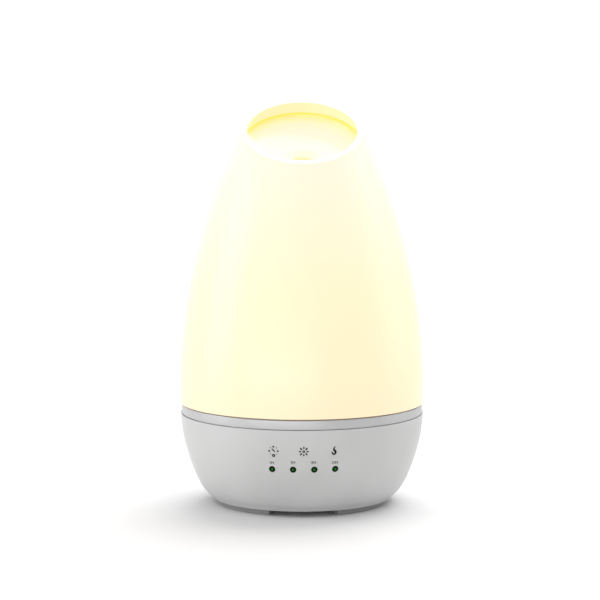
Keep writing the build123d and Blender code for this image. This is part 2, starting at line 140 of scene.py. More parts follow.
class Finish:
    # a material with one Principled shader; values that never change go straight on its sockets
    def __init__(self, name, **values):
        self.material = bpy.data.materials.new(name)
        self.material.use_nodes = True
        self.nodes = self.material.node_tree.nodes
        self.links = self.material.node_tree.links
        self.nodes.clear()
        self.shader = self.nodes.new("ShaderNodeBsdfPrincipled")
        self.nodes.new("ShaderNodeOutputMaterial")
        self.links.new(self.shader.outputs[0], self.nodes[-1].inputs[0])
        self.set(**values)

    def set(self, **values):
        for key, value in values.items():
            self.feed(self.shader.inputs[key.replace("_", " ")], value)

    def feed(self, socket, value):
        if isinstance(value, Sum):
            self.links.new(value.socket, socket)
        elif isinstance(value, (tuple, list)) and len(value) == 3 and socket.type == "RGBA":
            socket.default_value = (*value, 1)
        else:
            socket.default_value = value

    def node(self, kind, settings=None, output=0, **inputs):
        new = self.nodes.new("ShaderNode" + kind)
        for key, value in (settings or {}).items():
            if key == "stops":
                ramp = new.color_ramp
                while len(ramp.elements) < len(value):
                    ramp.elements.new(0.5)
                for stop, (place, colour) in zip(ramp.elements, value):
                    stop.position = place
                    stop.color = (*colour, 1)
            else:
                setattr(new, key, value)
        for key, value in inputs.items():
            index = int(key[1:]) if key[0] == "i" and key[1:].isdigit() else key.replace("_", " ")
            self.feed(new.inputs[index], value)
        return Sum(self, new.outputs[output])

    def maths(self, operation, first, second):
        return self.node("Math", {"operation": operation}, i0=first, i1=second)

    def place(self):
        return self.node("TexCoord", output=3)        # Object coordinates, in metres

    def noise(self, size, detail=3):
        # speckle about as wide as size
        return self.node("TexNoise", Vector=self.place(), Scale=1 / size, Detail=detail)

    def streaks(self, size, stretch):
        # speckle drawn out along the axes where stretch is large
        scale = tuple(1 / (size * part) for part in stretch)
        drawn = self.node("Mapping", Vector=self.place(), Scale=scale)
        return self.node("TexNoise", Vector=drawn, Scale=1.0, Detail=3)

    def ramp(self, value, *stops):
        return self.node("ValToRGB", {"stops": stops}, Fac=value)

    def blend(self, share, first, second):
        # from the first colour to the second
        return self.node("Mix", {"data_type": "RGBA"}, output=2, i0=share, i6=first, i7=second)

    def bump(self, height, distance, strength):
        self.set(Normal=self.node("Bump", Height=height, Distance=distance, Strength=strength))

    def part(self, vector, axis):
        # one number of a place
        return self.node("SeparateXYZ", output=axis, Vector=vector)


# the slanted opening

opening = {
    "height": 205.6,     # of its plane on the axis, mm
    "tilt": 26.0,        # degrees, low side to the front
    "middle": -9.5,      # y of its middle
    "rounding": 1.2,     # outer edge of the rim
    "softening": 0.5,    # inner edge
    "brightEdge": 0.9,   # the light in the cut edge reaches this far down inside
    "brightFade": 0.1,   # and fades out over this much
    "lowest": 150.0,     # heights between which it meets the walls
    "highest": 219.5,
}
tilt = math.radians(opening["tilt"])
rimMiddle = np.array([0, opening["middle"], opening["height"] + opening["middle"] * math.tan(tilt)])
rimAcross = np.array([1.0, 0, 0])
rimBack = np.array([0, math.cos(tilt), math.sin(tilt)])
rimUp = np.array([0, -math.sin(tilt), math.cos(tilt)])

dish = {
    "edgeDepth": 7.0,    # depths are measured below the rim's plane
    "outletDepth": 18.0,
    "outletRadius": 6.0,
    "wall": 2.2,
    "spoutWall": 1.6,
    "spoutDepth": 22.5,
    "edgeHigh": 4.6,     # of the edge that meets the wall
    "rounding": 0.9,     # lip of the outlet
    "spoutEdge": 0.2,
    "gap": 0.03,         # between edge and wall
    "reach": 33.0,       # from the middle to the edge, about
    "columns": 192,
}

panel = {
    "indicatorAngles": (-15.3, -5.1, 5.1, 15.3),
    "indicatorHeight": 28.0,
    "lensRadius": 1.66,
    "lensDome": 0.12,
    "lampGreen": (0.0, 0.16, 0.0),
    "iconHeight": 38.0,
    "labels": [("1H", -15.3, 31.5), ("3H", -5.1, 31.95), ("6H", 4.65, 31.95), ("ON", 14.9, 31.5)],
    "iconAngles": (-14.1, 0, 14.1),
    "letters": 2.05,         # size of their font
    "bold": 0.03,            # added all round each stroke
    "ink": 0.04,             # thickness of the print
    "inkLift": 0.01,
}


# finishes

def plastic(name, colour, rough, grain=0.00035, depth=0.00001, mottle=0.03, **values):
    # moulded plastic: fine spark-eroded grain, slow drift in shade and in polish
    paint = Finish(name, **values)
    speckle = paint.noise(grain, detail=2)
    drift = paint.noise(0.03, detail=2)
    low = tuple(part * (1 - mottle) for part in colour)
    high = tuple(min(1, part * (1 + mottle)) for part in colour)
    paint.set(Base_Color=paint.ramp(drift, (0.35, low), (0.65, high)),
              Roughness=rough + (speckle - 0.5) * 0.12 + (drift - 0.5) * 0.08)
    paint.bump(speckle, depth, 0.6)
    return paint


coverFinish = {
    "tint": (0.42, 0.40, 0.33),        # the frosted plastic itself
    "glowLow": (1.0, 0.69, 0.37),      # light coming through near the lamps
    "glowMiddle": (1.0, 0.80, 0.44),
    "glowHigh": (1.0, 0.85, 0.70),     # and near the rim
    "insideTint": (0.42, 0.40, 0.30),  # the wall over the dish
    "insideGlow": (1.0, 0.735, 0.335),
    "rimTint": (0.75, 0.75, 0.72),     # the cut edge, lit from below
    "rimGlow": (1.0, 1.0, 0.95),
    # painted shade: a dark colour of its own for the rebate over the ring
    "rebateShadeTint": (0.10, 0.10, 0.10),    # the rebate over the ring, where no light comes through
    "glow": 0.66,
    "rough": 0.34,
    "lampsHigh": 0.055,                # metres, where the glow starts to change
    "rimHigh": 0.215,
}
dishFinish = {
    "creaseTint": (0.30, 0.26, 0.07),  # where the bowl meets the wall and the light is trapped
    "crease": (1.0, 0.64, 0.04),
    "nearTint": (0.20, 0.19, 0.14),
    "near": (1.0, 0.84, 0.51),
    "openTint": (0.12, 0.12, 0.10),
    "open": (1.0, 0.92, 0.70),
    "brightTint": (0.30, 0.30, 0.30),  # the side the light falls on
    "bright": (1.0, 1.0, 1.0),
    "outletTint": (0.20, 0.19, 0.14),
    "outlet": (1.0, 0.88, 0.50),
    "stops": {0.0: "crease", 0.02: "crease", 0.30: "near", 0.50: "open", 0.71: "open", 0.74: "outlet"},
    "reach": 15,                       # mm of depth that the stops cover
    "glow": 0.90,
}
grainSize = 0.0005
grainDepth = 0.000006


def coverMaterial():
    # painted light and shade: the glow pales with height, the cut edge is painted nearly white as lit from
    # below, and the rebate over the ring painted dark as in shade
    look = coverFinish
    paint = Finish("frostedCover", IOR=1.45, Emission_Strength=look["glow"], Coat_Weight=0.1,
                   Coat_Roughness=0.15)
    height = paint.part(paint.place(), 2)
    inside, rim, foot = [paint.node("Attribute", {"attribute_name": name}, output=2)
                         for name in ("inside", "rim", "foot")]
    drift = paint.noise(0.06, detail=2)
    grain = paint.noise(grainSize, detail=2)
    climb = (height - look["lampsHigh"]) / (look["rimHigh"] - look["lampsHigh"]) + (drift - 0.5) * 0.1
    glow = paint.ramp(climb, (0.0, look["glowLow"]), (0.4, look["glowMiddle"]), (0.9, look["glowHigh"]))
    # painted light: the cut edge takes a paler colour and a whiter glow, as lit from below
    tint = paint.blend(rim, paint.blend(inside, look["tint"], look["insideTint"]), look["rimTint"])
    glow = paint.blend(rim, paint.blend(inside, glow, look["insideGlow"]), look["rimGlow"])
    # painted shade on the rebate: dark colour and no glow
    paint.set(Base_Color=paint.blend(foot, tint, look["rebateShadeTint"]),
              Emission_Color=paint.blend(foot, glow, (0, 0, 0)),
              Roughness=look["rough"] + (grain - 0.5) * 0.1 + (drift - 0.5) * 0.05)
    paint.bump(grain, grainDepth, 0.5)
    return paint.material


def dishMaterial():
    # painted light: the glow follows the depth below the slanted rim, deep yellow in the crease and paler in
    # the bowl;
    # one side of the bowl carries a painted highlight, up to a soft slanting edge
    look = dishFinish
    paint = Finish("frostedDish", IOR=1.45, Emission_Strength=look["glow"], Coat_Weight=0.3,
                   Coat_Roughness=0.1)
    slanted = paint.node("Mapping", {"vector_type": "TEXTURE"}, Vector=paint.place(),
                         Location=tuple(rimMiddle * mm), Rotation=(tilt, 0, 0))
    across, back, depth = paint.part(slanted, 0), paint.part(slanted, 1), -1 * paint.part(slanted, 2)
    grain = paint.noise(grainSize, detail=2)
    drift = paint.noise(0.02, detail=2)
    fall = (depth / mm - dish["edgeDepth"]) / look["reach"] + (drift - 0.5) * 0.04
    glow = paint.ramp(fall, *[(stop, look[place]) for stop, place in look["stops"].items()])
    tint = paint.ramp(fall, *[(stop, look[place + "Tint"]) for stop, place in look["stops"].items()])
    none, full = (0, 0, 0), (1, 1, 1)
    # painted highlight: one side of the bowl takes a white glow and a paler colour
    side = paint.ramp((across + back * 1.2) / mm / 100 + 0.5, (0.34, full), (0.44, none))
    side = side * paint.ramp(fall, (0.05, none), (0.25, full), (0.6, full), (0.72, none))
    paint.set(Base_Color=paint.blend(side, tint, look["brightTint"]),
              Emission_Color=paint.blend(side, glow, look["bright"]), Roughness=0.3 + (grain - 0.5) * 0.1)
    paint.bump(grain, grainDepth, 0.5)
    return paint.material


def innerPlastic(name, colour, glow):
    # natural white moulding with the lamps shining up through it, strongest near the floor of the tank
    paint = plastic(name, colour, 0.38, IOR=1.47, Emission_Strength=glow)
    climb = (paint.part(paint.place(), 2) - 0.04) / 0.13
    paint.set(Emission_Color=paint.ramp(climb, (0.0, (1.0, 0.80, 0.42)), (1.0, (0.75, 0.66, 0.48))))
    return paint.material


def metal(name, colour, rough, size=0.0004, stretch=(1, 1, 12)):
    # fine drawn streaks, with slow clouds in the shine
    paint = Finish(name, Metallic=1.0)
    streak = paint.streaks(size, stretch)
    cloud = paint.noise(0.004, detail=3)
    dark = tuple(part * 0.86 for part in colour)
    paint.set(Base_Color=paint.ramp(cloud * 0.5 + streak * 0.5, (0.3, dark), (0.7, colour)),
              Roughness=rough + (streak - 0.5) * 0.2 + (cloud - 0.5) * 0.1)
    paint.bump(streak, grainDepth, 0.6)
    return paint.material


def winding(name):
    # enamelled wire, turn above turn
    paint = Finish(name, Metallic=0.9)
    turns = paint.node("TexWave", {"bands_direction": "Z"}, output=1, Vector=paint.place(),
                       Scale=700.0, Distortion=0.4)
    paint.set(Base_Color=paint.ramp(turns, (0.0, (0.20, 0.07, 0.025)), (0.6, (0.62, 0.27, 0.10))),
              Roughness=0.28 + (1 - turns) * 0.3)
    paint.bump(turns, 0.00012, 0.8)
    return paint.material


def circuitBoard(name, mask, track):
    # solder mask over raised tracks on a grid, with tinned holes
    paint = Finish(name, Coat_Weight=0.4, Coat_Roughness=0.15)
    turned = paint.node("Mapping", Vector=paint.place(), Rotation=(0, 0, math.pi / 4))
    tracks = paint.node("TexBrick", output=1, Vector=turned, Scale=170.0, Mortar_Size=0.035,
                        Mortar_Smooth=0.3)
    spot = paint.node("TexVoronoi", output=0, Vector=turned, Scale=260.0)
    holes = paint.node("SeparateColor", Color=paint.ramp(spot, (0.10, (1, 1, 1)), (0.14, (0, 0, 0))))
    green = paint.ramp(tracks, (0.0, mask), (1.0, track))
    paint.set(Base_Color=paint.blend(holes, green, (0.6, 0.6, 0.58)), Roughness=0.34 + tracks * 0.08)
    paint.bump(tracks, 0.00004, 0.7)
    return paint.material


def sleeve(name):
    # a printed sleeve with a pale stripe and a bare aluminium end
    paint = Finish(name, Coat_Weight=0.3, Coat_Roughness=0.2)
    low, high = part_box("capacitors")
    bare = paint.maths("GREATER_THAN", paint.part(paint.place(), 2), high[2] - 0.0006)
    stripe = paint.node("TexWave", {"bands_direction": "DIAGONAL"}, output=1, Vector=paint.place(),
                        Scale=42.0)
    wrap = paint.ramp(stripe, (0.90, (0.012, 0.018, 0.05)), (0.95, (0.45, 0.46, 0.5)))
    paint.set(Base_Color=paint.blend(bare, wrap, (0.7, 0.7, 0.71)), Metallic=bare, Roughness=0.4 - bare * 0.1)
    return paint.material


def foam(name):
    # open cells, darker in the pores
    paint = Finish(name)
    cells = paint.node("TexVoronoi", output=0, Vector=paint.place(), Scale=2200.0)
    paint.set(Base_Color=paint.ramp(cells, (0.1, (0.02, 0.02, 0.024)), (0.7, (0.09, 0.09, 0.1))),
              Roughness=0.8 + cells * 0.1)
    paint.bump(cells, 0.00012, 0.8)
    return paint.material


def lamp(name, colour, glow, strength):
    # phosphor or tinted epoxy: grainy, and brightest where it is thickest
    paint = Finish(name, Emission_Strength=strength, Coat_Weight=0.5, Coat_Roughness=0.1)
    grain = paint.noise(0.0003, detail=3)
    dim = tuple(part * 0.7 for part in glow)
    paint.set(Base_Color=colour, Emission_Color=paint.ramp(grain, (0.35, dim), (0.65, glow)),
              Roughness=0.3 + grain * 0.1)
    return paint.material


def lensMaterial():
    # a smoked lens with the green lamp showing through its middle
    paint = Finish("smokedLens", Emission_Strength=1.0, Specular_IOR_Level=0.12)
    spot = paint.node("UVMap", {"uv_map": "pattern"})
    radius = paint.node("VectorMath", {"operation": "DISTANCE"}, output=1, i0=spot, i1=(0.5, 0.5, 0)) * 2
    grain = paint.noise(0.0002, detail=2)
    green = panel["lampGreen"]
    glow = paint.ramp(radius + (grain - 0.5) * 0.08, (0.0, green), (0.26, green), (0.5, (0, 0, 0)))
    paint.set(Base_Color=paint.ramp(grain, (0.3, (0.001, 0.001, 0.001)), (0.7, (0.003, 0.003, 0.003))),
              Emission_Color=glow, Roughness=0.3 + (grain - 0.5) * 0.05)
    return paint.material


def inkMaterial():
    # dark pad-printed ink, slightly uneven
    paint = Finish("printInk", Specular_IOR_Level=0.2)
    patch = paint.noise(0.0004, detail=3)
    paint.set(Base_Color=paint.ramp(patch, (0.35, (0.002, 0.002, 0.002)), (0.7, (0.010, 0.010, 0.011))),
              Roughness=0.45 + (patch - 0.5) * 0.2)
    return paint.material


coverPaint = coverMaterial()
dishPaint = dishMaterial()
basePaint = plastic("baseGrey", (0.52, 0.52, 0.52), 0.36, IOR=1.48).material
ringPaint = plastic("trimSilver", (0.47, 0.47, 0.475), 0.34, Metallic=0.2).material
footPaint = plastic("footRubber", (0.22, 0.22, 0.225), 0.7, grain=0.0006, depth=0.00003).material
tankPaint = innerPlastic("naturalTank", (0.58, 0.57, 0.54), 0.16)
liningPaint = innerPlastic("whiteMoulding", (0.60, 0.595, 0.57), 0.06)
blackPaint = plastic("blackMoulding", (0.02, 0.02, 0.022), 0.45).material
slotPaints = {
    "frosted_cover": coverPaint,
    "frosted_dish": dishPaint,
    "white_moulding": liningPaint,
    "tank_plastic": tankPaint,
    "base_plastic": basePaint,
    "plate_plastic": plastic("plateGrey", (0.42, 0.42, 0.425), 0.55, grain=0.0005, depth=0.00002).material,
    "ring_plastic": ringPaint,
    "foot_rubber": footPaint,
    "silicone": plastic("silicone", (0.72, 0.72, 0.68), 0.5, grain=0.0008, IOR=1.41,
                        Coat_Weight=0.2).material,
    "transducer_metal": metal("platedDisc", (0.74, 0.72, 0.66), 0.22, stretch=(1, 1, 1)),
    "black_plastic": blackPaint,
    "screw_steel": metal("zincSteel", (0.62, 0.62, 0.63), 0.3),
    "white_board": circuitBoard("whiteBoard", (0.80, 0.80, 0.77), (0.62, 0.63, 0.60)),
    "warm_led": lamp("warmLamp", (0.85, 0.62, 0.12), (1.0, 0.72, 0.28), 6.0),
    "green_board": circuitBoard("greenBoard", (0.01, 0.10, 0.035), (0.02, 0.20, 0.07)),
    "copper_winding": winding("copperWinding"),
    "heat_sink_metal": metal("sinkAluminium", (0.72, 0.73, 0.74), 0.35, size=0.0003, stretch=(12, 12, 1)),
    "capacitor_sleeve": sleeve("capacitorSleeve"),
    "header_plastic": plastic("naturalNylon", (0.74, 0.71, 0.60), 0.45).material,
    "indicator_lens": blackPaint,
    "green_led": lamp("greenLamp", (0.05, 0.35, 0.06), (0.08, 0.7, 0.1), 0.8),
    "touch_foam": foam("touchFoam"),
}


def paintNodes():
    # every carried-over part takes the finish of its slot
    for part in frame["record"]["subparts"]:
        for place in frame["nodes"][part["node"]].material_slots:
            place.material = slotPaints[part["material_slot"]]


print("finishes ready")


# shapes: grids worked out as whole arrays

def aroundAxis(radius, angle, height):
    # a point at a radius and an angle from the front, counted towards +X
    return np.stack(np.broadcast_arrays(radius * np.sin(angle), -radius * np.cos(angle), height), axis=-1)


def arc(centre, radius, start, end, count=7):
    # points of a round corner, angles in degrees from +radius towards +height
    turn = np.radians(np.linspace(start, end, count))
    return np.stack([centre[0] + radius * np.cos(turn), centre[1] + radius * np.sin(turn)], axis=1)


def chain(*parts):
    # points and runs of points, one after another
    return np.concatenate([np.atleast_2d(np.asarray(part, float)) for part in parts])


def insetCurve(curve, distance):
    # points along the same curve, moved towards the axis by the distance
    spots = curve(np.linspace(0, 1, 400))
    along = np.gradient(spots, axis=0)
    along /= np.linalg.norm(along, axis=1, keepdims=True)
    return spots + np.stack([-along[:, 1], along[:, 0]], axis=1) * distance


class Wall:
    # a wall of revolution: its outer and inner radius at any height, in mm
    def __init__(self, points, thickness):
        curve = smoothCurve(points)
        self.outerSpots = insetCurve(curve, 0)
        self.innerSpots = insetCurve(curve, thickness)

    def outer(self, height):
        return np.interp(height, self.outerSpots[:, 1], self.outerSpots[:, 0])

    def inner(self, height):
        return np.interp(height, self.innerSpots[:, 1], self.innerSpots[:, 0])


def inRim(across, back, up):
    # from the slanted frame of the rim to the object's own, in mm
    across, back, up = np.broadcast_arrays(across, back, up)
    return rimMiddle + across[..., None] * rimAcross + back[..., None] * rimBack + up[..., None] * rimUp


def heightAtPlane(radiusAt, angle, depth):
    # where a wall of revolution meets the plane lying depth below the rim, found by halving
    low = np.full(angle.shape, opening["lowest"])
    high = np.full(angle.shape, opening["highest"])
    for _ in range(40):
        middle = (low + high) / 2
        above = (np.cos(tilt) * (middle - rimMiddle[2])
                 - np.sin(tilt) * (-radiusAt(middle) * np.cos(angle) - rimMiddle[1])) > -depth
        high = np.where(above, middle, high)
        low = np.where(above, low, middle)
    return (low + high) / 2


def addPiece(name, shape, material, body, node, slot, crease=35, **extras):
    # a finished piece: it rides on the body and stands for the node; the slot is not used
    points, faces = shape
    piece = addMesh(name, points * mm, faces, material, crease=crease, **extras)
    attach(piece, body)
    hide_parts(node)


# top cover

cover = {
    "outline": [(66.0, 54.4), (66.0, 65.5), (65.6, 77.2), (62.0, 110.0), (54.8, 142.7), (44.3, 175.2),
                (33.0, 202.0), (24.6, 220.5)],
    "wall": 2.4,
    "step": 0.5,         # the rebate that throws a dark line
    "stepDepth": 1.4,
    "lipDepth": 0.15,    # the wall's lowest edge lies this far in
    "hair": 0.01,        # keeps two rows apart where the finish changes
    "rows": 72,
    "columns": 256,
}
coverWall = Wall(cover["outline"], cover["wall"])


def makeCover():
    # every column is one section of the wall: up the outside, round the rim, down the inside and
    # across the foot; the rim corners are quadratic curves between wall and slanted plane
    angle = np.linspace(0, 2 * np.pi, cover["columns"], endpoint=False)
    foot = cover["outline"][0][1]

    def spot(radiusAt, height):
        return aroundAxis(radiusAt(height), angle, height)

    def corner(first, middle, last, count):
        return [first * (1 - t) ** 2 + middle * 2 * t * (1 - t) + last * t ** 2
                for t in np.linspace(0, 1, count)]

    outTop = heightAtPlane(coverWall.outer, angle, opening["rounding"])
    inTop = heightAtPlane(coverWall.inner, angle, opening["softening"])
    outSharp = spot(coverWall.outer, heightAtPlane(coverWall.outer, angle, 0))
    inSharp = spot(coverWall.inner, heightAtPlane(coverWall.inner, angle, 0))
    across = (inSharp - outSharp) / np.linalg.norm(inSharp - outSharp, axis=1, keepdims=True)
    rows = []
    climb = np.linspace(0, 1, cover["rows"])
    for t in climb:
        rows.append(spot(coverWall.outer, foot + cover["step"] + (outTop - foot - cover["step"]) * t))
    rows += corner(rows[-1], outSharp, outSharp + across * opening["rounding"], 7)[1:]
    inStart = spot(coverWall.inner, inTop)
    nearDepth = opening["brightEdge"] - opening["brightFade"]
    nearEdge = spot(coverWall.inner, heightAtPlane(coverWall.inner, angle, nearDepth))
    rows += corner(inSharp - across * opening["softening"], inSharp, inStart, 4) + [nearEdge]
    rimRows = len(rows)
    wallTop = heightAtPlane(coverWall.inner, angle, opening["brightEdge"])
    for t in climb:
        rows.append(spot(coverWall.inner, wallTop + (foot - wallTop) * t))
    stepRadius = coverWall.outer(foot) - cover["stepDepth"]
    rows.append(aroundAxis(stepRadius, angle, foot))
    rows.append(aroundAxis(stepRadius + cover["hair"], angle, foot))
    rows.append(aroundAxis(stepRadius, angle, foot + cover["step"]))
    rows.append(aroundAxis(coverWall.outer(foot) - cover["lipDepth"], angle, foot + cover["step"]))
    points = np.array(rows)
    faces = gridFaces(len(rows), cover["columns"], closeRows=True)
    # marks for the material: the inside wall, the cut edge for its painted light and the rebate for its
    # painted shade
    inside, rim, shade = np.zeros((3, *points.shape[:2]))
    inside[rimRows:] = 1
    rim[cover["rows"] + 4:rimRows] = 1        # from the middle of the outer corner
    shade[-3:] = 1
    addPiece("topCover", (points.reshape(-1, 3), faces), coverPaint, "cover", "top_cover", "frosted_cover",
             crease=40, marks={"inside": inside, "rim": rim, "foot": shade})


# mist dish

def makeDish():
    # in the slanted frame: the bowl falls from its oval edge like a quarter of an ellipse, the
    # radius shrinking with the cosine while the depth grows with the sine, down to the round outlet
    angle = np.linspace(0, 2 * np.pi, dish["columns"], endpoint=False)

    def edgeAt(depth):
        # the inner wall at that depth, in the slanted frame, as across and back
        height = heightAtPlane(coverWall.inner, angle, depth)
        spots = aroundAxis(coverWall.inner(height), angle, height) - rimMiddle
        return np.stack([spots @ rimAcross, spots @ rimBack], axis=1) * (1 - dish["gap"] / dish["reach"])

    top, floor, eye, soft = dish["edgeDepth"], dish["outletDepth"], dish["outletRadius"], dish["rounding"]
    lowTop = top + dish["edgeHigh"]
    edge, lowEdge = edgeAt(top), edgeAt(lowTop)
    facing = np.arctan2(edge[:, 0], -edge[:, 1])
    way = np.stack([np.sin(facing), -np.cos(facing)], axis=1)
    lip, spout = eye + soft, eye + dish["spoutWall"]
    end, corner = dish["spoutDepth"], dish["spoutEdge"]
    rows = []

    def ring(flat, depth):
        rows.append(inRim(flat[:, 0], flat[:, 1], np.full(len(flat), -float(depth))))

    for t in np.linspace(0, 1, 40):
        share = math.cos(t * math.pi / 2)
        ring(way * lip * (1 - share) + edge * share, top + (floor - top) * math.sin(t * math.pi / 2))
    for t in np.radians(np.linspace(15, 90, 6)):
        ring(way * (lip - soft * math.sin(t)), floor + soft * (1 - math.cos(t)))
    ring(way * eye, end - corner)
    ring(way * (eye + corner), end)
    ring(way * (spout - corner), end)
    ring(way * spout, end - corner)
    lowFloor = floor + dish["wall"]
    ring(way * spout, lowFloor)
    for t in np.linspace(0.97, 0, 24):
        share = math.cos(t * math.pi / 2)
        ring(way * spout * (1 - share) + lowEdge * share,
             lowTop + (lowFloor - lowTop) * math.sin(t * math.pi / 2))
    shape = (np.concatenate(rows), gridFaces(len(rows), dish["columns"], closeRows=True))
    addPiece("mistDish", shape, dishPaint, "cover", "mist_outlet_dish", "frosted_dish", crease=50)


makeCover()
makeDish()
print("cover and dish ready")


# trim ring and base shell

base = {
    "outline": [(48.0, 3.0), (52.4, 6.6), (57.8, 15.4), (62.2, 27.6), (64.8, 38.6), (65.9, 49.1)],
    "wall": 2.4,
    "seamEdge": 0.12,    # rounding of the edges along the seam under the ring
    "footHigh": 8.0,     # the wall is full to here
    "plateRadius": 47.5,
    "ledgeRadius": 60.9,
    "ledgeHigh": 43.6,
    "socketHeight": 23.0,
    "socketFace": 55.4,
    "pocketRadius": 5.8,
    "padRadius": 8.0,
    "barrelBore": 4.1,
    "lensHole": 1.72,
    "outside": 80,       # distances from the axis that lie clear of the wall, for the cuts
    "within": 50,
    "boss": (1.35, 3.6, 6.4, 16.5),      # bore, radius, low end and high end
    "bossRing": 43.0,                    # how far the bosses stand from the axis
    "rib": (46.4, 56.0, 14.0, 15.5),     # from the axis to the wall, low and high
    "post": (2.0, 52.8, 58.4),           # radius, and the ends' distances from the axis
    "postPlace": (20.0, 31.0),           # to either side, and high
}
baseWall = Wall(base["outline"], base["wall"])
ringSize = {
    "radius": 65.3,
    "low": 49.3,
    "high": 54.3,
    "edge": 0.45,
    "bore": 61.0,
    "foot": 62.7,        # radius of the part between the shell and the tank's flange
    "footLow": 46.4,
    "collar": 63.1,
    "collarHigh": 58.0,
    "collarEdge": 0.5,
}


def rounded(points, radius, count=4):
    # a closed outline with its corners rounded: the quadratic curve from a point before each corner to
    # one after it, radius away, or less on a short side
    points = np.asarray(points, float)
    curves = []
    for side in (np.roll(points, 1, axis=0), np.roll(points, -1, axis=0)):
        gap = side - points
        length = np.linalg.norm(gap, axis=1, keepdims=True)
        curves.append(points + gap / length * np.minimum(radius, length * 0.45))
    t = np.linspace(0, 1, count)[None, :, None]
    first, last, middle = curves[0][:, None], curves[1][:, None], points[:, None]
    return (first * (1 - t) ** 2 + middle * 2 * t * (1 - t) + last * t ** 2).reshape(-1, 2)


def turnedShape(outlinePoints, count=64, place=(0, 0)):
    # a closed outline turned about a vertical line through the place
    outlinePoints = np.asarray(outlinePoints, float)
    angle = np.linspace(0, 2 * np.pi, count, endpoint=False)
    points = aroundAxis(outlinePoints[:, 0:1], angle[None, :], outlinePoints[:, 1:2])
    shifted = points + np.array([*place, 0.0])
    return shifted.reshape(-1, 3), gridFaces(len(outlinePoints), count, closeRows=True)


def cappedShape(outlinePoints, count=64):
    # the same for an outline that starts and ends near the axis, closed there with flat caps
    outlinePoints = np.asarray(outlinePoints, float)
    points, _ = turnedShape(outlinePoints, count)
    rows = len(outlinePoints)
    last = (rows - 1) * count
    caps = [list(range(count))[::-1], list(range(last, last + count))]
    return points, gridFaces(rows, count).tolist() + caps


def prism(flat, low, high):
    # a flat outline given a thickness
    count = len(flat)
    points = np.concatenate([np.column_stack([flat, np.full(count, float(level))]) for level in (low, high)])
    start = np.arange(count)
    after = (start + 1) % count
    sides = np.stack([start, after, after + count, start + count], axis=1).tolist()
    return points, sides + [list(range(count))[::-1], list(range(count, 2 * count))]


def boss(size, soft, place):
    # an upright tube for a screw; its size is bore, radius, low end and high end
    bore, radius, low, high = size
    return turnedShape(rounded([(bore, low), (radius, low), (radius, high), (bore, high)], soft), 32, place)


def at(radius, angle):
    # a place by its distance from the axis and its angle from the front
    turn = math.radians(angle)
    return np.array([radius * math.sin(turn), -radius * math.cos(turn)])


def turnedAway(shape, angle):
    # a shape laid out for the front, turned round the axis
    cosine, sine = math.cos(math.radians(angle)), math.sin(math.radians(angle))
    points, faces = shape
    x, y, z = points.T
    return np.stack([x * cosine - y * sine, x * sine + y * cosine, z], axis=1), faces


def cutShape(shape, cutters):
    # what is left of a shape when the others are taken out of it
    blank = addMesh("blank", shape[0] * mm, shape[1], blackPaint)
    for points, faces in cutters:
        cutter = addMesh("cutter", points * mm, faces, blackPaint)
        cut = blank.modifiers.new("cut", "BOOLEAN")
        cut.operation = "DIFFERENCE"
        cut.solver = "EXACT"
        cut.object = cutter
        bpy.context.view_layer.update()
        mesh = bpy.data.meshes.new_from_object(blank.evaluated_get(bpy.context.evaluated_depsgraph_get()))
        blank.modifiers.clear()
        blank.data = mesh
        bpy.data.objects.remove(cutter)
    points = np.array([corner.co for corner in mesh.vertices]) / mm
    faces = [list(face.vertices) for face in mesh.polygons]
    bpy.data.objects.remove(blank)
    return points, faces


def lyingRod(radius, yFrom, yTo, x, z, count=32):
    # a cylinder along Y
    angle = np.linspace(0, 2 * np.pi, count, endpoint=False)
    flat = np.stack([radius * np.cos(angle), radius * np.sin(angle)], axis=1)
    points, faces = prism(flat, 0, yTo - yFrom)
    return np.stack([points[:, 0] + x, yTo - points[:, 2], points[:, 1] + z], axis=1), faces


def makeRing():
    # a visible band over a narrower foot, with a collar inside it that centres the cover
    low, high, radius, edge = ringSize["low"], ringSize["high"], ringSize["radius"], ringSize["edge"]
    bore, foot, collar = ringSize["bore"], ringSize["foot"], ringSize["collar"]
    collarHigh, collarEdge, soft = ringSize["collarHigh"], ringSize["collarEdge"], base["seamEdge"]
    outline = chain((bore, ringSize["footLow"]), (foot, ringSize["footLow"]), (foot, low - 0.15),
                    (foot + 0.15, low), arc((radius - soft, low + soft), soft, -90, 0),
                    arc((radius - edge, high - edge), edge, 0, 90), (collar + 0.1, high),
                    (collar, high + 0.1),
                    arc((collar - collarEdge, collarHigh - collarEdge), collarEdge, 0, 90),
                    arc((bore + 0.3, collarHigh - 0.3), 0.3, 90, 180))
    addPiece("trimRing", turnedShape(outline, 192), ringPaint, "base", "trim_ring", "ring_plastic")


def socketCup():
    # the cup behind the inlet: turned about a line along Y, with its rim ending inside the curved wall
    angle = np.linspace(0, 2 * np.pi, 48, endpoint=False)
    inner, outer, bore = base["pocketRadius"], base["padRadius"], base["barrelBore"]
    face = base["socketFace"]

    def ring(radius, depth=None):
        x = radius * np.cos(angle)
        z = base["socketHeight"] + radius * np.sin(angle)
        wall = np.sqrt((baseWall.outer(z) - base["wall"] / 2) ** 2 - x ** 2)
        return np.stack([x, wall if depth is None else np.full(x.shape, depth), z], axis=1)

    rows = [ring(bore, face - base["wall"]), ring(outer, face - base["wall"]), ring(outer), ring(inner),
            ring(inner, face), ring(bore, face)]
    return np.concatenate(rows), gridFaces(len(rows), len(angle), closeRows=True)[:, ::-1]


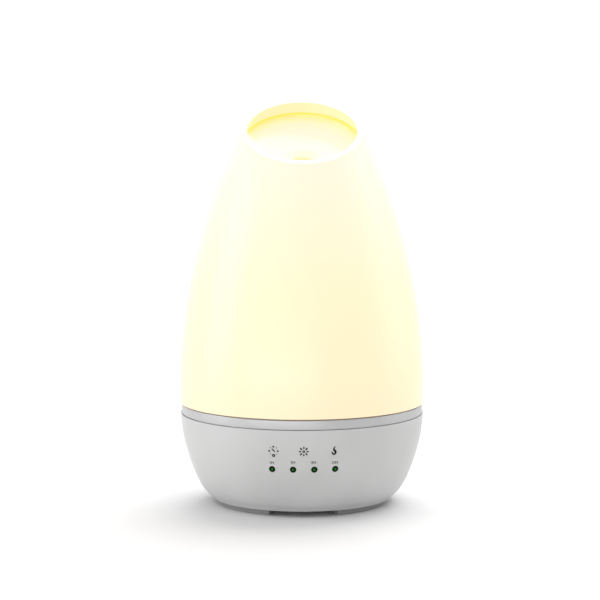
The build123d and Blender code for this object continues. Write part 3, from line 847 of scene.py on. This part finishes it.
def makeBaseShell():
    # the bowl with its ledge inside, screw bosses with ribs, posts for the touch board and the inlet's cup
    top = base["outline"][-1][1]
    soft, ledge, foot = base["seamEdge"], base["ledgeHigh"], base["plateRadius"]
    height = np.linspace(base["outline"][0][1] + 1.2, top - soft, 60)
    outer = np.stack([baseWall.outer(height), height], axis=1)
    innerTop = float(baseWall.inner(top))

    def inside(high, low, count):
        level = np.linspace(high, low, count)
        return np.stack([baseWall.inner(level), level], axis=1)

    outline = chain((foot, 3.3), (foot + 0.3, 3.02), (48.9, 3.15), outer,
                    arc((baseWall.outer(top) - soft, top - soft), soft, 10, 90),
                    (innerTop + 0.2, top), (innerTop, top - 0.3), inside(top - 1.5, ledge, 5),
                    (base["ledgeRadius"], ledge), (base["ledgeRadius"], ledge - 2),
                    inside(ledge - 2, base["footHigh"] + 0.4, 36), (foot, base["footHigh"]))
    outside, within = base["outside"], base["within"]
    cuts = [lyingRod(base["pocketRadius"], base["socketFace"], outside, 0, base["socketHeight"], count=64)]
    rod = lyingRod(base["lensHole"], -outside, -within, 0, panel["indicatorHeight"])
    cuts += [turnedAway(rod, angle) for angle in panel["indicatorAngles"]]
    shapes = [cutShape(turnedShape(outline, 256), cuts), socketCup()]
    near, far, low, high = base["rib"]
    rib = prism(np.array([(-1, -far), (1, -far), (1, -near), (-1, -near)]), low, high)
    for angle in (0, 90, 180, 270):
        shapes += [boss(base["boss"], 0.3, at(base["bossRing"], angle)), turnedAway(rib, angle)]
    radius, near, far = base["post"]
    across, level = base["postPlace"]
    shapes += [lyingRod(radius, -far, -near, x, level) for x in (-across, across)]
    addPiece("baseShell", joined(*shapes), basePaint, "base", "base_shell", "base_plastic")


# touch panel: smoked lenses and the print

def panelFrame(angle, height):
    # a place on the panel, with its directions across, up along the wall and outwards
    around = math.radians(angle)
    radius, slope = baseWall.outer(height), baseWall.outer(height + 0.5) - baseWall.outer(height - 0.5)
    outwards = np.array([math.sin(around), -math.cos(around), 0])
    up = (outwards * slope + np.array([0, 0, 1])) / math.hypot(slope, 1)
    across = np.array([math.cos(around), math.sin(around), 0])
    return outwards * radius + np.array([0, 0, height]), across, up, np.cross(across, up)


def makeLenses():
    # a plug with a low dome: the face rises with the square root of the distance left to the rim
    radius, dome = panel["lensRadius"], panel["lensDome"]
    share = np.linspace(0, 0.96, 10)[:, None]
    face = np.concatenate([(1 - share) * radius, dome * np.sqrt(1 - (1 - share) ** 2) + 0.02], axis=1)
    local, faces = cappedShape(chain((radius - 0.1, -2.2), (radius, -2.1), (radius, -0.05), face), 40)
    shapes, patterns = [], []
    for angle in panel["indicatorAngles"]:
        middle, across, up, out = panelFrame(angle, panel["indicatorHeight"])
        shapes.append((middle + local[:, 0:1] * across + local[:, 1:2] * up + local[:, 2:3] * out, faces))
        patterns.append(local[:, :2] / radius / 2 + 0.5)
    addPiece("indicatorLenses", joined(*shapes), lensMaterial(), "base", "indicator_windows",
             "indicator_lens", pattern=np.concatenate(patterns))


def stroke(points, widths, count=26):
    # a brush stroke: a smooth line through the points, as wide along its way as the widths say
    line = smoothCurve(points)(np.linspace(0, 1, count))
    ahead = np.gradient(line, axis=0)
    ahead /= np.linalg.norm(ahead, axis=1, keepdims=True)
    width = np.interp(np.linspace(0, 1, count), np.linspace(0, 1, len(widths)), widths)[:, None]
    side = np.stack([-ahead[:, 1], ahead[:, 0]], axis=1) * width / 2
    return prism(np.concatenate([line - side, (line + side)[::-1]]), 0, panel["ink"])


def spot(x, y, outer, inner=0.0):
    # a dot, or a ring if it has an inner radius
    ink = panel["ink"]
    if inner:
        return turnedShape([(inner, 0), (outer, 0), (outer, ink), (inner, ink)], 28, place=(x, y))
    angle = np.linspace(0, 2 * np.pi, 20, endpoint=False)
    return prism(np.stack([x + outer * np.cos(angle), y + outer * np.sin(angle)], axis=1), 0, ink)


def letters(words):
    # block letters as a mesh, in mm about their middle
    data = bpy.data.curves.new("letters", "FONT")
    data.body = words
    data.size = panel["letters"] * mm
    data.extrude = panel["ink"] / 2 * mm
    data.offset = panel["bold"] * mm
    data.resolution_u = 4
    data.align_x = "CENTER"
    data.align_y = "CENTER"
    holder = bpy.data.objects.new("letters", data)
    bpy.context.scene.collection.objects.link(holder)
    bpy.context.view_layer.update()
    mesh = bpy.data.meshes.new_from_object(holder.evaluated_get(bpy.context.evaluated_depsgraph_get()))
    points = np.array([corner.co for corner in mesh.vertices]) / mm
    faces = [list(face.vertices) for face in mesh.polygons]
    bpy.data.objects.remove(holder)
    return points + np.array([0, 0, panel["ink"] / 2]), faces


def timerIcon():
    # a dial of eight dots with a hand, the lowest dot a ring
    marks = [spot(0, 2.34, 0.5), spot(-2.27, 0, 0.5), spot(2.27, 0, 0.5), spot(0, -2.4, 0.85, 0.25)]
    marks += [spot(side * 1.67, level, 0.26) for side in (-1, 1) for level in (1.75, -1.6)]
    return joined(stroke([(-0.85, 1.25), (0.8, -0.4)], [0.55, 0.65, 0.55]), *marks)


def lightIcon():
    # a sun: a ring and eight petals
    rays = []
    for turn in range(0, 360, 45):
        way = np.array([math.cos(math.radians(turn)), math.sin(math.radians(turn))])
        near, far = (1.2, 2.8) if turn % 90 else (1.4, 2.6)
        rays.append(stroke([way * near, way * far], [0.3, 0.78, 0.85, 0.7, 0.3]))
    return joined(spot(0, 0, 0.72, 0.2), *rays)


def mistIcon():
    # a curl of mist in two strokes
    rise = stroke([(0.67, 2.45), (-0.02, 1.5), (-0.1, 0.67), (0.67, -0.17), (0.85, -1.0), (0.12, -2.15)],
                  [0.25, 0.75, 1.1, 1.2, 1.1, 0.5])
    return joined(rise, stroke([(-1.26, -0.3), (-0.84, -1.14), (0.15, -2.15)], [0.3, 0.95, 0.6]))


def makePrint():
    # every mark is laid out flat, then wrapped on the panel: across turns into angle, up into height,
    # and the radius is the wall's own plus the lift of the ink
    icons = (timerIcon(), lightIcon(), mistIcon())
    marks = [(icon, angle, panel["iconHeight"]) for icon, angle in zip(icons, panel["iconAngles"])]
    marks += [(letters(words), angle, height) for words, angle, height in panel["labels"]]
    wrapped = []
    for (flat, faces), angle, height in marks:
        level = height + flat[:, 1]
        radius = baseWall.outer(level) + panel["inkLift"]
        around = math.radians(angle) + flat[:, 0] / radius
        wrapped.append((aroundAxis(radius + flat[:, 2], around, level), faces))
    points, faces = joined(*wrapped)
    piece = addMesh("panelPrint", points * mm, faces, inkMaterial(), smooth=False)
    mend = bmesh.new()
    mend.from_mesh(piece.data)
    bmesh.ops.remove_doubles(mend, verts=mend.verts, dist=1e-6)
    bmesh.ops.recalc_face_normals(mend, faces=mend.faces)
    mend.to_mesh(piece.data)
    mend.free()
    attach(piece, "base")


# feet

foot = {
    "outer": 46.6,
    "width": 5.0,
    "span": 44.0,        # degrees
    "high": 4.0,
    "rounding": 0.7,
}


def makeFeet():
    # a rounded section swept along an arc, with flat ends
    inner, outer, high = foot["outer"] - foot["width"], foot["outer"], foot["high"]
    section = rounded([(inner, 0), (outer, 0), (outer, high), (inner, high)], foot["rounding"])
    half = math.radians(foot["span"] / 2)
    angle = np.linspace(-half, half, 33)
    points = aroundAxis(section[:, 0:1], angle[None, :], section[:, 1:2]).reshape(-1, 3)
    rows, columns = len(section), len(angle)
    start = [row * columns for row in range(rows)]
    ends = [start, [corner + columns - 1 for corner in start][::-1]]
    shape = (points, gridFaces(rows, columns, closeRows=True, closeColumns=False).tolist() + ends)
    for place, turn in (("front_right", 45), ("rear_right", 135), ("rear_left", 225), ("front_left", 315)):
        node = "foot_" + place
        addPiece(node + ".rubber", turnedAway(shape, turn), footPaint, "base", node, "foot_rubber")


# water tank, inner cover and mist tube

tank = {
    "radius": 60.4,
    "wall": 2.2,
    "underside": 42.0,
    "floor": 44.4,
    "rim": 84.0,
    "flange": (62.5, 44.6, 46.4),        # radius, low side and high side
    "wellRadius": 24.0,
    "wellLow": 39.0,
    "eye": 8.4,                          # the transducer's window
    "seat": (12.1, 14.5, 35.0),          # the ring round its seal: inner and outer radius, low end
    "plateBoss": (1.15, 2.8, 35.0, 39.4),
    "plateBossRing": 17.2,
    "lightBoss": (0.95, 2.4, 40.0, 42.4),
    "lightBossRing": 52.5,
    "ductPlace": (38, -135),
    "ductHole": 8.55,
}
duct = {
    "bore": 7.0,
    "radius": 8.5,
    "low": 42.0,
    "high": 74.0,
    "flange": (11.0, 44.4, 45.6),
}


def makeTank():
    # a turned cup with a well in its floor, and bosses under it for the plate and for the lights
    low, floor, radius, well = tank["underside"], tank["floor"], tank["radius"], tank["wellRadius"]
    inner, eye, wellLow = radius - tank["wall"], tank["eye"], tank["wellLow"]
    flange, flangeLow, flangeHigh = tank["flange"]
    seatInner, seatOuter, seatLow = tank["seat"]
    outline = rounded([(eye, wellLow), (seatInner, wellLow), (seatInner, seatLow), (seatOuter, seatLow),
                       (seatOuter, wellLow), (well + 2.4, wellLow), (well + 2.4, low), (radius, low),
                       (radius, flangeLow), (flange, flangeLow), (flange, flangeHigh), (radius, flangeHigh),
                       (radius, tank["rim"]), (inner, tank["rim"])], 0.5)
    wall = [(inner, floor + 4), (inner - 0.4, floor + 2.2), (inner - 1.4, floor + 0.8),
            (inner - 3.4, floor + 0.1)]
    dip = rounded([(well + 0.01, floor), (well, floor - 3), (eye, floor - 3)], 0.5)[1:-1]
    hole, faces = cappedShape([(tank["ductHole"], 30), (tank["ductHole"], 60)], 48)
    ductHole = (hole + np.array([*at(*tank["ductPlace"]), 0]), faces)
    shapes = [cutShape(turnedShape(chain(outline, wall, dip), 192), [ductHole])]
    for name, angles in (("plateBoss", (60, 180, 300)), ("lightBoss", (45, 135, 225, 315))):
        shapes += [boss(tank[name], 0.25, at(tank[name + "Ring"], angle)) for angle in angles]
    addPiece("waterTank", joined(*shapes), tankPaint, "base", "water_tank", "tank_plastic")


def makeDuct():
    # the air tube with its sealing flange
    bore, radius, low, high = duct["bore"], duct["radius"], duct["low"], duct["high"]
    flange, flangeLow, flangeHigh = duct["flange"]
    outline = rounded([(bore, low), (radius, low), (radius, flangeLow), (flange, flangeLow),
                       (flange, flangeHigh), (radius, flangeHigh), (radius, high), (bore, high)], 0.4)
    shape = turnedShape(outline, 64, place=at(*tank["ductPlace"]))
    addPiece("airDuct", shape, tankPaint, "base", "air_duct", "tank_plastic")


inner = {
    "underside": [(7.6, 90.4), (20.0, 89.2), (40.0, 87.0), (56.2, 84.5)],
    "top": [(10.9, 94.5), (13.0, 92.6), (20.0, 91.4), (40.0, 89.0), (57.0, 86.9), (60.8, 86.1)],
    "skirt": 57.8,
    "skirtLow": 79.0,
    "lid": 61.2,
    "lidLow": 84.3,
    "lidHigh": 85.7,
    "collar": 9.1,
    "collarHigh": 106.0,
    "seat": 93.0,
    "tubeRadius": 9.0,
    "tubeWall": 1.4,
    "tubeDepth": 24.0,       # of its slanted end below the rim
    "tubeColumns": 96,
}


def makeInnerCover():
    # a turned dome: its two faces are smooth curves through a few points
    place = np.linspace(0, 1, 24)
    below = smoothCurve(inner["underside"])(place)
    above = smoothCurve(inner["top"])(place)[::-1]
    collar, seat, high = inner["collar"], inner["seat"], inner["collarHigh"]
    skirt, low, lid, lidLow = inner["skirt"], inner["skirtLow"], inner["lid"], inner["lidLow"]
    outline = chain((collar, seat), (collar - 1.5, seat), below, (skirt - 1.6, low + 0.3), (skirt - 1.3, low),
                    (skirt - 0.3, low), (skirt, low + 0.3), (skirt, lidLow - 0.3), (skirt + 0.3, lidLow),
                    (lid - 0.3, lidLow), (lid, lidLow + 0.3), (lid, inner["lidHigh"]), above,
                    (collar + 1.8, high - 0.5), (collar + 1.3, high), (collar + 0.3, high),
                    (collar, high - 0.3))
    shape = turnedShape(outline, 192)
    addPiece("innerCover", shape, liningPaint, "inner_cover", "inner_cover", "white_moulding")


def makeMistTube():
    # a straight tube whose columns end on a slanted plane, with both edges eased
    columns = inner["tubeColumns"]
    angle = np.linspace(0, 2 * np.pi, columns, endpoint=False)
    radius, low, ease = inner["tubeRadius"], inner["seat"], 0.3
    bore = radius - inner["tubeWall"]
    rows = []

    def ring(size, height):
        rows.append(aroundAxis(size, angle, height))

    def end(size, depth):
        return heightAtPlane(lambda height: np.full_like(height, size), angle, inner["tubeDepth"] + depth)

    ring(radius - ease, np.full(columns, low))
    for share in np.linspace(0, 1, 30):
        ring(radius, low + ease + (end(radius, ease) - low - ease) * share)
    ring(radius - ease, end(radius - ease, 0))
    ring(bore + ease, end(bore + ease, 0))
    for share in np.linspace(1, 0, 30):
        ring(bore, low + (end(bore, ease) - low) * share)
    shape = (np.concatenate(rows), gridFaces(len(rows), columns, closeRows=True))
    addPiece("mistTube", shape, liningPaint, "inner_cover", "mist_tube", "white_moulding")


makeRing()
makeBaseShell()
makeLenses()
makePrint()
makeFeet()
print("ring, base and panel ready")

makeTank()
makeDuct()
makeInnerCover()
makeMistTube()
paintNodes()
print("inner parts ready")


# camera, floor and light

studio = {
    "distance": 1.300,      # from the axis
    "height": 0.254,
    "turn": -0.8,           # degrees round the object
    "pitch": 6.32,
    "lens": 144.66,
    "aside": -0.00108,
    "fill": 0.57,
    "sun": 2.05,
    "sunWidth": 55,
    "sunTurn": (-30, 13, 0),
    "floor": 30.0,
    "softboxes": {          # place, what it aims at, size and watts
        "fillLeft": ((-0.8, -0.1, 0.25), (0, 0, 0.06), (0.5, 0.6), 2.2),
        "fillRight": ((0.8, 0.1, 0.3), (0, 0, 0.06), (0.5, 0.6), 1.1),
        "fillFront": ((-0.2, -1.0, 0.3), (0, 0, 0.05), (0.9, 0.4), 0.2),
        "lowFront": ((-0.3, -0.9, 0.05), (0, 0, 0.03), (1.2, 0.08), 2.0),
    },
}


def addCamera():
    # looks across the axis and a little down, from the distance
    turn = math.radians(studio["turn"])
    ahead = np.array([-math.sin(turn), math.cos(turn)])
    right = np.array([math.cos(turn), math.sin(turn)])
    spot = -studio["distance"] * ahead + studio["aside"] * right
    data = bpy.data.cameras.new("camera")
    data.lens = studio["lens"]
    data.sensor_width = 36
    data.clip_end = 20
    camera = bpy.data.objects.new("camera", data)
    camera.location = (spot[0], spot[1], studio["height"])
    camera.rotation_euler = (math.radians(90 - studio["pitch"]), 0, turn)
    bpy.context.scene.collection.objects.link(camera)
    bpy.context.scene.camera = camera


def addSoftbox(name, place, aim, size, power):
    # a flat lamp at the place, facing what it aims at
    data = bpy.data.lights.new(name, "AREA")
    data.shape = "RECTANGLE"
    data.size, data.size_y = size
    data.energy = power
    lamp = bpy.data.objects.new(name, data)
    lamp.location = place
    x, y, z = np.array(place) - np.array(aim)
    lamp.rotation_euler = (math.atan2(math.hypot(x, y), z), 0, math.atan2(y, x) + math.pi / 2)
    bpy.context.scene.collection.objects.link(lamp)


def addSun():
    # a wide, high softbox that lights the whole floor evenly
    data = bpy.data.lights.new("overhead", "SUN")
    data.energy = studio["sun"]
    data.angle = math.radians(studio["sunWidth"])
    lamp = bpy.data.objects.new("overhead", data)
    lamp.rotation_euler = [math.radians(turn) for turn in studio["sunTurn"]]
    bpy.context.scene.collection.objects.link(lamp)


def addWorld():
    # plain white all round; it fills less than it shows, so that shadows keep their depth
    world = bpy.data.worlds.new("studio")
    world.use_nodes = True
    nodes, links = world.node_tree.nodes, world.node_tree.links
    path = nodes.new("ShaderNodeLightPath")
    fill = nodes.new("ShaderNodeMapRange")
    fill.inputs["To Min"].default_value = 1.0
    fill.inputs["To Max"].default_value = studio["fill"]
    links.new(path.outputs["Is Diffuse Ray"], fill.inputs["Value"])
    links.new(fill.outputs["Result"], nodes["Background"].inputs["Strength"])
    nodes["Background"].inputs["Color"].default_value = (1, 1, 1, 1)
    bpy.context.scene.world = world


def addStudio():
    addWorld()
    bpy.context.scene.view_settings.view_transform = "Standard"
    paint = plastic("paleFloor", (0.88, 0.88, 0.88), 0.8, grain=0.01, mottle=0.0)
    far = studio["floor"]
    corners = [(-far, -far, 0), (far, -far, 0), (far, far, 0), (-far, far, 0)]
    floor = addMesh("floor", corners, [(0, 1, 2, 3)], paint.material, smooth=False)
    addSun()
    for name, box in studio["softboxes"].items():
        addSoftbox(name, *box)


addCamera()
addStudio()
print("studio ready")
